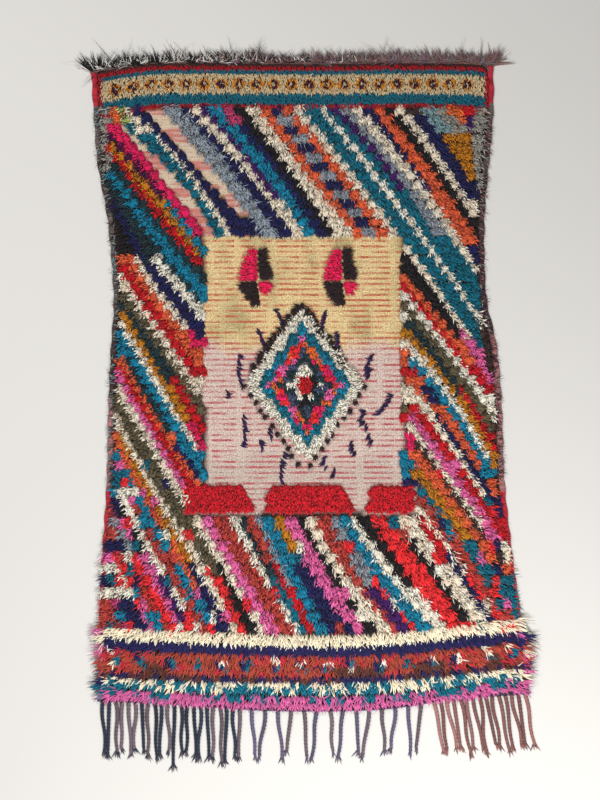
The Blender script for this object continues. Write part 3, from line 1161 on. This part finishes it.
# --- Panel figures ----------------------------------------------------------------------
# Two small figures counterchanged in pink and dark brown stand above the lozenge. Brown
# arms run along its upper sides, dark dots along its lower ones, and blue whiskers round it.
FigureRow = namedtuple("FigureRow", "yarn level start end")
FIGURE_ROWS = (
    FigureRow("pink", 0.086, -0.022, 0.000), FigureRow("pink", 0.066, -0.034, 0.000),
    FigureRow("pink", 0.046, -0.041, 0.000), FigureRow("pink", 0.026, -0.047, 0.000),
    FigureRow("pink", 0.008, -0.050, 0.000),
    FigureRow("figure_brown", 0.086, 0.003, 0.022), FigureRow("figure_brown", 0.066, 0.002, 0.026),
    FigureRow("figure_brown", 0.046, 0.002, 0.030), FigureRow("figure_brown", 0.026, 0.003, 0.037),
    FigureRow("figure_brown", 0.008, 0.007, 0.043),
    FigureRow("figure_brown", -0.020, -0.052, 0.000),
    FigureRow("figure_brown", -0.039, -0.042, 0.003),
    FigureRow("figure_brown", -0.057, -0.030, 0.006),
    FigureRow("figure_brown", -0.076, -0.016, 0.009),
    FigureRow("pink", -0.020, 0.003, 0.042), FigureRow("pink", -0.037, 0.009, 0.034),
)
FIGURES = ((-0.148, 0.419), (0.127, 0.419))
ARM_FOOTS = ((-0.165, 0.125), (0.140, 0.140))
ARM_TOP = (-0.010, 0.335)
ARM_KNOTS, ARM_PUFF = 11, (0.0075, 0.0165)
FIGURE_KNOT, FIGURE_PUFF, FIGURE_FULLNESS = 0.019, 0.0112, 0.66
DOTS, DOT_PUFF, DOT_LENGTHS = 11, 0.0045, (0.0035, 0.0080)
DOTS_ACROSS, DOTS_DOWN = (0.196, 0.020), (-0.010, -0.262)  # from the lozenge's middle
WHISKER_PITCH = 0.0062
WHISKER_LONGER, WHISKER_SLANT, WHISKER_BEND = 1.12, 0.85, 0.007
WHISKER_STITCH, WHISKER_WIDTH = 0.024, 0.0050
WHISKER_ROOT, WHISKER_LIFT = 0.0060, 0.010
Whisker = namedtuple("Whisker", "x y length lean")
WHISKERS = (
    Whisker(-0.084, 0.316, 0.060, 0.35), Whisker(-0.133, 0.250, 0.070, 0.15),
    Whisker(-0.200, 0.165, 0.085, 0.05), Whisker(-0.245, 0.050, 0.022, 0.3),
    Whisker(-0.185, -0.030, 0.095, -0.1), Whisker(-0.100, -0.075, 0.030, -0.2),
    Whisker(-0.125, -0.112, 0.028, -0.2), Whisker(-0.055, -0.155, 0.090, -0.1),
    Whisker(0.065, 0.310, 0.065, -0.30), Whisker(0.115, 0.240, 0.075, -0.15),
    Whisker(0.220, 0.165, 0.055, -0.3), Whisker(0.212, 0.120, 0.030, 0.1),
    Whisker(0.275, 0.040, 0.070, -0.5), Whisker(0.190, -0.010, 0.035, -0.5),
    Whisker(0.190, -0.045, 0.030, 0.2), Whisker(0.215, -0.090, 0.030, -0.2),
    Whisker(0.155, -0.115, 0.045, 0.2), Whisker(0.068, -0.165, 0.035, 0.2),
    Whisker(0.095, -0.205, 0.030, 0.4),
)


chance = random.Random(17)
figures = ([], [])
for middle_x, middle_y in FIGURES:
    for figure_row in FIGURE_ROWS:
        knots = max(1, round((figure_row.end - figure_row.start) / FIGURE_KNOT))
        for n in range(knots):
            x = middle_x + mix(figure_row.start, figure_row.end, (n + 0.5) / knots)
            y = middle_y + figure_row.level
            out = math.copysign(0.9, figure_row.start + figure_row.end)
            comb = (out, 0.5 if figure_row.yarn != "pink" and out > 0 else -0.3)
            half = FIGURE_FULLNESS * (figure_row.end - figure_row.start) / knots
            yarn = "figure_pink" if figure_row.yarn == "pink" else figure_row.yarn
            add_knot(figures, knot(x, y, yarn, chance, FIGURE_PUFF, half, 0.0, 1.0, comb))
for foot_x, foot_y in ARM_FOOTS:
    for n in range(ARM_KNOTS):
        share = (n + 0.4) / ARM_KNOTS
        x, y = mix(ARM_TOP[0], foot_x, share), mix(ARM_TOP[1], foot_y, share)
        place = (x + chance.uniform(-0.005, 0.005), y + chance.uniform(-0.004, 0.004))
        turn = math.atan2(0.5, foot_x) + chance.uniform(-0.4, 0.4)
        comb = (math.copysign(0.8, foot_x), -0.6)
        add_knot(figures, knot(*place, "figure_brown", chance, *ARM_PUFF, turn, 0.9, comb))
for side in (-1, 1):
    for n in range(DOTS):
        x = LOZENGE_X + side * mix(*DOTS_ACROSS, n / (DOTS - 1))
        y = LOZENGE_Y + mix(*DOTS_DOWN, n / (DOTS - 1))
        x, y = x + chance.uniform(-0.004, 0.004), y + chance.uniform(-0.004, 0.004)
        half = chance.uniform(*DOT_LENGTHS)
        add_knot(figures, knot(x, y, "figure_brown", chance, DOT_PUFF, half, 0.0, 0.7))
for whisker in WHISKERS:
    stitches = max(3, round(WHISKER_LONGER * whisker.length / WHISKER_PITCH))
    along_x, along_y = math.sin(whisker.lean), -math.cos(whisker.lean)
    slant = math.copysign(WHISKER_SLANT, whisker.x)
    for n in range(stitches):
        down = WHISKER_PITCH * n
        bend = WHISKER_BEND * math.sin(math.pi * n / stitches + whisker.y * 20)
        heading = whisker.lean - math.pi / 2 - slant + chance.uniform(-0.35, 0.35)
        long = WHISKER_STITCH * chance.uniform(0.8, 1.25)
        figures[1].append((
            whisker.x + along_x * down + bend - 0.5 * long * math.cos(heading),
            whisker.y + along_y * down - 0.5 * long * math.sin(heading), WHISKER_ROOT,
            heading, long, WHISKER_LIFT, 0.000, WHISKER_WIDTH * chance.uniform(0.8, 1.2),
            chance.uniform(-0.7, 0.7), dyed("indigo", chance, 0.3),
        ))
tuft_piece("pile_figures", figures[1], figures[0])

# --- Side cords -------------------------------------------------------------------------
# The outer warps of each edge are gathered and wound over with yarn as the rug is woven.
# The colour of the winding changes whenever the weaver takes up the next ball.
ROWS_OF_CORD = 1150
CORD_SIDES = 8
CORD_HEIGHT = 0.009
CORD_SWELL = 0.0016
WINDING = 0.0056
Winding = namedtuple("Winding", "yarn foot head")
LEFT_WINDINGS = (
    Winding("cord_grey", -1.00, -0.66), Winding("cord_red", -0.66, -0.26),
    Winding("cord_rose", -0.26, 0.03), Winding("cord_dark", 0.03, 0.30),
    Winding("cord_grey", 0.30, 0.62), Winding("cord_dark", 0.62, 0.80),
    Winding("cord_grey", 0.80, 0.98), Winding("cord_red", 0.98, 1.20),
)
RIGHT_WINDINGS = (
    Winding("cord_grey", -1.00, -0.69), Winding("scarlet", -0.69, -0.56),
    Winding("cord_red", -0.56, -0.27), Winding("cord_rose", -0.27, 0.24),
    Winding("cord_dark", 0.24, 0.74), Winding("cord_grey", 0.74, 0.98),
    Winding("cord_red", 0.98, 1.20),
)
Course = namedtuple("Course", "points half_width half_height pitch lobes colours")


def wound_mesh(name, courses, sides, depth):
    """Sweeps a lumpy, twisted section along each course and joins them in one mesh."""
    co, faces, tint, uv = [], [], [], []
    angle = math.tau * np.arange(sides) / sides
    for course in courses:
        points = np.array(course.points)
        count = len(points)
        forth = np.gradient(points, axis=0)
        forth[:, 2] = 0.0
        forth /= np.linalg.norm(forth, axis=1)[:, None]
        run = np.concatenate(([0], np.cumsum(np.linalg.norm(np.diff(points, axis=0), axis=1))))
        turn = course.lobes * (angle[None, :] - math.tau * run[:, None] / course.pitch) / 2
        r = 1 - depth * (1 - np.abs(np.cos(turn)))
        wide = np.broadcast_to(course.half_width, (count,))[:, None] * np.cos(angle) * r
        high = np.broadcast_to(course.half_height, (count,))[:, None] * np.sin(angle) * r
        ring = np.empty((count, sides, 3))
        ring[..., 0] = points[:, 0:1] - forth[:, 1:2] * wide
        ring[..., 1] = points[:, 1:2] + forth[:, 0:1] * wide
        ring[..., 2] = np.maximum(points[:, 2:3] + high, 0.0)
        first = sum(len(block) for block in co)
        co.append(ring.reshape(-1, 3))
        for row in range(count - 1):
            for k in range(sides):
                a, b = first + row * sides + k, first + row * sides + (k + 1) % sides
                faces.append((a, b, b + sides, a + sides))
                uv += [(k / sides, run[row]), ((k + 1) / sides, run[row]),
                       ((k + 1) / sides, run[row + 1]), (k / sides, run[row + 1])]
        for cap in (range(sides - 1, -1, -1), range((count - 1) * sides, count * sides)):
            faces.append(tuple(first + k for k in cap))
            uv += [(k / sides, 0.0) for k in range(sides)]
        shade = np.ones((count, sides, 4))
        shade[..., :3] = np.array(course.colours)[:, None, :] * (0.6 + 0.4 * r[..., None] ** 3)
        tint.append(shade.reshape(-1, 4))
    mesh = bpy.data.meshes.new(name)
    mesh.from_pydata(np.concatenate(co).tolist(), [], faces)
    strand = mesh.uv_layers.new(name="strand")
    strand.data.foreach_set("uv", np.array(uv, dtype=np.float32).ravel())
    colours = mesh.color_attributes.new("yarn", "FLOAT_COLOR", "POINT")
    colours.data.foreach_set("color", np.concatenate(tint).astype(np.float32).ravel())
    mesh.polygons.foreach_set("use_smooth", np.ones(len(mesh.polygons), dtype=bool))
    mesh.update()
    made = bpy.data.objects.new(name, mesh)
    bpy.context.scene.collection.objects.link(made)
    made.data.materials.append(wool)
    return made


chance = random.Random(41)
for side, (name, windings) in enumerate(
    (("side_cord_left", LEFT_WINDINGS), ("side_cord_right", RIGHT_WINDINGS))
):
    inward = 1.0 if side == 0 else -1.0
    points, widths, heights, colours = [], [], [], []
    for row in range(ROWS_OF_CORD + 1):
        share = row / ROWS_OF_CORD
        outer = side_limits(share)[side]
        swell = CORD_SWELL * (1 + math.sin(row * 70 / ROWS_OF_CORD * 2.4))
        middle = outer + inward * (swell + CORD_WIDTH) / 2
        y = lengthwise(middle, share)
        points.append((middle, y, (CORD_HEIGHT - swell / 2) / 2))
        widths.append((CORD_WIDTH - swell) / 2)
        heights.append((CORD_HEIGHT - swell / 2) / 2)
        blur = y + chance.uniform(-0.006, 0.006)
        winding = next(w for w in windings if w.foot <= blur <= w.head)
        if row % 3 == 0:
            shade = dyed(winding.yarn, chance, 0.25)
        colours.append(shade)
    course = Course(points, np.array(widths), np.array(heights), WINDING, 1, colours)
    cord = wound_mesh(f"wound_{name}", [course], CORD_SIDES, 0.14)
    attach(cord, BODY)
    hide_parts(name)

# --- Foot fringe ------------------------------------------------------------------------
# The warp ends of the foot are plied into cords in three bunches, drawn together in pairs,
# and left to fray. A narrow twined strip holds them against the last row of knots.
STRIP_WIDTH, STRIP_RINGS, STRIP_TWINE = 0.008, 361, 0.018
FOOT_STRIP_HEIGHT = 0.007
SWAY, SWAY_TURNS = 0.022, 90
FOOT_CORD_WIDTH, FOOT_CORD_TAPER, FOOT_CORD_FLAT = 0.0074, 0.25, 0.75
FOOT_CORD_RINGS = 56
FOOT_CORD_REACH = 0.93  # as a share of the strand, so that the frayed ends fill the rest
FOOT_PLY = 0.024
FRAYED_ENDS, FRAYED_LENGTHS, FRAYED_WIDTH = 7, (0.018, 0.036), 0.0024
Bunch = namedtuple("Bunch", "first last count length lean yarns")
SLATE_YARNS = ("warp_slate", "warp_slate", "warp_slate", "warp_mauve")
PURPLE_YARNS = ("warp_purple", "warp_purple", "warp_mauve")
BROWN_YARNS = ("warp_brown", "warp_brown", "warp_rose")
FOOT_BUNCHES = (
    Bunch(-0.650, -0.205, 22, 0.190, 0.00, SLATE_YARNS),
    Bunch(-0.165, 0.385, 14, 0.165, -0.03, PURPLE_YARNS),
    Bunch(0.425, 0.720, 15, 0.198, 0.16, BROWN_YARNS),
)
STRAND_WIDTH_CAD = 0.0085
LONGEST_CORD = 0.215
Strand = namedtuple("Strand", "x length lean yarns")


def foot_strands():
    """Cords of the foot, the two of each pair leaning towards each other."""
    chance = random.Random(11)
    strands = []
    for bunch in FOOT_BUNCHES:
        pitch = (bunch.last - bunch.first) / (bunch.count - 1)
        pull = 0.5 * (pitch - STRAND_WIDTH_CAD) / bunch.length
        for i in range(bunch.count):
            towards = pull if i % 2 == 0 else -pull
            length = bunch.length * chance.uniform(0.84, 1.0)
            lean = bunch.lean + towards * chance.uniform(0.6, 1.1)
            strands.append(Strand(bunch.first + i * pitch, length, lean, bunch.yarns))
    middle = FOOT_BUNCHES[0].count // 2
    strands[middle] = strands[middle]._replace(length=LONGEST_CORD)
    return strands


def strip_course(end_points, outward, height, yarn, chance):
    """The twined strip that runs along one end of the rug."""
    first, last = end_points[0].across, end_points[-1].across
    points, colours = [], []
    for n in range(STRIP_RINGS):
        x = mix(first, last, n / (STRIP_RINGS - 1))
        middle = through(end_points, x) + outward * (CLEARANCE + STRIP_WIDTH / 2)
        points.append((x, middle, height / 2))
        colours.append(dyed(yarn, chance, 0.2))
    return Course(points, STRIP_WIDTH / 2, height / 2, STRIP_TWINE, 2, colours)


chance = random.Random(43)
courses = [strip_course(FOOT_END, -1.0, FOOT_STRIP_HEIGHT, "warp_purple", chance)]
rows = []
for strand in foot_strands():
    root_y = through(FOOT_END, strand.x) - CLEARANCE - STRIP_WIDTH * 0.7
    sway = SWAY * strand.length * math.sin(strand.x * SWAY_TURNS)
    shade = np.array(dyed(chance.choice(strand.yarns), chance, 0.2))
    points, colours, widths = [], [], []
    for n in range(FOOT_CORD_RINGS):
        share = n / (FOOT_CORD_RINGS - 1)
        x = strand.x + strand.lean * strand.length * share + sway * math.sin(share * math.tau)
        width = FOOT_CORD_WIDTH * (1.0 - FOOT_CORD_TAPER * share)
        y = root_y - strand.length * FOOT_CORD_REACH * share
        points.append((x, y, width * FOOT_CORD_FLAT))
        widths.append(width)
        colours.append(shade * chance.uniform(0.85, 1.15))
    widths = np.array(widths)
    courses.append(Course(points, widths, widths * FOOT_CORD_FLAT, FOOT_PLY, 2, colours))
    tip = points[-3]
    for i in range(FRAYED_ENDS):
        heading = math.atan2(-1.0, strand.lean) + chance.gauss(0, 0.22)
        rows.append((
            tip[0] + chance.uniform(-0.003, 0.003), tip[1], 0.002, heading,
            chance.uniform(*FRAYED_LENGTHS), 0.003, 0.0, FRAYED_WIDTH, chance.uniform(-0.4, 0.4),
            dyed(chance.choice(strand.yarns), chance, 0.25),
        ))
foot_cords = wound_mesh("plied_fringe_foot", courses, 6, 0.34)
frayed = joined_mesh("frayed_ends_foot", [end_copies(rows, LONG_END)])
frayed.data.materials.append(wool)
for piece in (foot_cords, frayed):
    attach(piece, BODY)
    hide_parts("fringe_foot")

# --- Head fringe ------------------------------------------------------------------------
# At the head the warp ends are short, cut and matted: tangled hair in black, grey and white
# on the left, mauve and brown on the right, with a wisp at each corner.
HEAD_LOCKS = 96
HEAD_LENGTH = 0.044
HEAD_LENGTH_VARIES = 0.012
HEAD_LEAN = 0.45
WISP_LOCKS = 5
WISP_LENGTH = 0.056
WISP_LEAN = 1.15
WISP_LEAST_LEAN = 0.6
WISP_SPREAD, MAT_SPREAD = 0.2, 0.6
WISP_CURL, MAT_CURL = 0.3, 0.8
HAIRS_A_LOCK = 15
HAIR_WIDTH = 0.0016
HAIRS_LEFT = ("hair_black", "hair_black", "hair_white")
HAIRS_RIGHT = ("hair_mauve", "hair_brown", "hair_brown", "hair_grey")
HAIRS_CHANGE = (-0.45, 0.30)  # across which the left hairs give way to the right ones


def head_strands():
    """Short locks of the head, leaning in drifts and fanned out at the corners."""
    chance = random.Random(5)
    first, last = HEAD_END[0].across + 0.008, HEAD_END[-1].across - 0.008
    strands = []
    for i in range(HEAD_LOCKS):
        x = mix(first, last, i / (HEAD_LOCKS - 1))
        length = HEAD_LENGTH + HEAD_LENGTH_VARIES * chance.uniform(-1.0, 1.0)
        lean = HEAD_LEAN * noise.noise(Vector((x * 4.0, 0.3, 0.0)))
        from_corner = min(i, HEAD_LOCKS - 1 - i)
        if from_corner < WISP_LOCKS:
            share = 1 - from_corner / WISP_LOCKS
            length = mix(length, WISP_LENGTH, share)
            lean = mix(lean, math.copysign(WISP_LEAN, i - HEAD_LOCKS / 2), share)
        strands.append(Strand(x, length, lean, ()))
    return strands


chance = random.Random(47)
rows = []
for strand in head_strands():
    root_y = through(HEAD_END, strand.x) + CLEARANCE + STRIP_WIDTH * 0.5
    for i in range(HAIRS_A_LOCK):
        rightwards = (strand.x - HAIRS_CHANGE[0]) / (HAIRS_CHANGE[1] - HAIRS_CHANGE[0])
        hairs = HAIRS_LEFT if chance.random() > rightwards else HAIRS_RIGHT
        wisp = abs(strand.lean) > WISP_LEAST_LEAN
        spread, curl = (WISP_SPREAD, WISP_CURL) if wisp else (MAT_SPREAD, MAT_CURL)
        heading = math.atan2(1.0, strand.lean) + chance.gauss(0, spread)
        rows.append((
            strand.x + chance.uniform(-0.008, 0.008), root_y, 0.0025, heading,
            strand.length * math.hypot(1, strand.lean) * chance.uniform(0.6, 1.0),
            chance.uniform(0.002, 0.014), chance.uniform(0.0, 0.004),
            HAIR_WIDTH * chance.uniform(0.8, 1.5), chance.gauss(0, curl),
            dyed(chance.choice(hairs), chance, 0.25),
        ))
head_strip = wound_mesh(
    "twined_strip_head", [strip_course(HEAD_END, 1.0, 0.005, "hair_brown", chance)], 6, 0.3
)
hair = joined_mesh("matted_fringe_head", [end_copies(rows, LONG_END)])
hair.data.materials.append(wool)
for piece in (head_strip, hair):
    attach(piece, BODY)
    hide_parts("fringe_head")

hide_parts("cloth")

# --- Floor and light --------------------------------------------------------------------
# A plain pale floor, with large soft lamps above and a pale sky round it.
FLOOR_SIZE = 30.0
FLOOR_COLOUR = linear(205, 202, 197)
SKY_COLOUR, SKY_STRENGTH = (0.95, 0.97, 1.0, 1.0), 0.30
bpy.ops.object.select_all(action="DESELECT")
bpy.ops.mesh.primitive_plane_add(size=FLOOR_SIZE, location=(0.0, 0.0, 0.0))
floor = bpy.context.object
floor.name = "studio_floor"
paint, nodes, links, shader = new_material("floor_paint", 0.8, 0.0)
shader.inputs["Base Color"].default_value = (*FLOOR_COLOUR, 1.0)
floor.data.materials.append(paint)

Lamp = namedtuple("Lamp", "name place size power")
for lamp in (
    Lamp("soft_key", (-2.4, 1.8, 3.6), 1.0, 108.0),
    Lamp("soft_fill", (0.8, -2.8, 2.8), 1.6, 164.0),
):
    bpy.ops.object.light_add(type="AREA", location=lamp.place)
    made = bpy.context.object
    made.name = lamp.name
    made.data.size = lamp.size
    made.data.energy = lamp.power
    made.rotation_euler = (Vector((0, 0, 0)) - made.location).to_track_quat("-Z", "Y").to_euler()
sky = bpy.data.worlds.new("studio_sky")
sky.use_nodes = True
sky.node_tree.nodes["Background"].inputs["Color"].default_value = SKY_COLOUR
sky.node_tree.nodes["Background"].inputs["Strength"].default_value = SKY_STRENGTH
bpy.context.scene.world = sky
bpy.context.scene.view_settings.view_transform = "Standard"
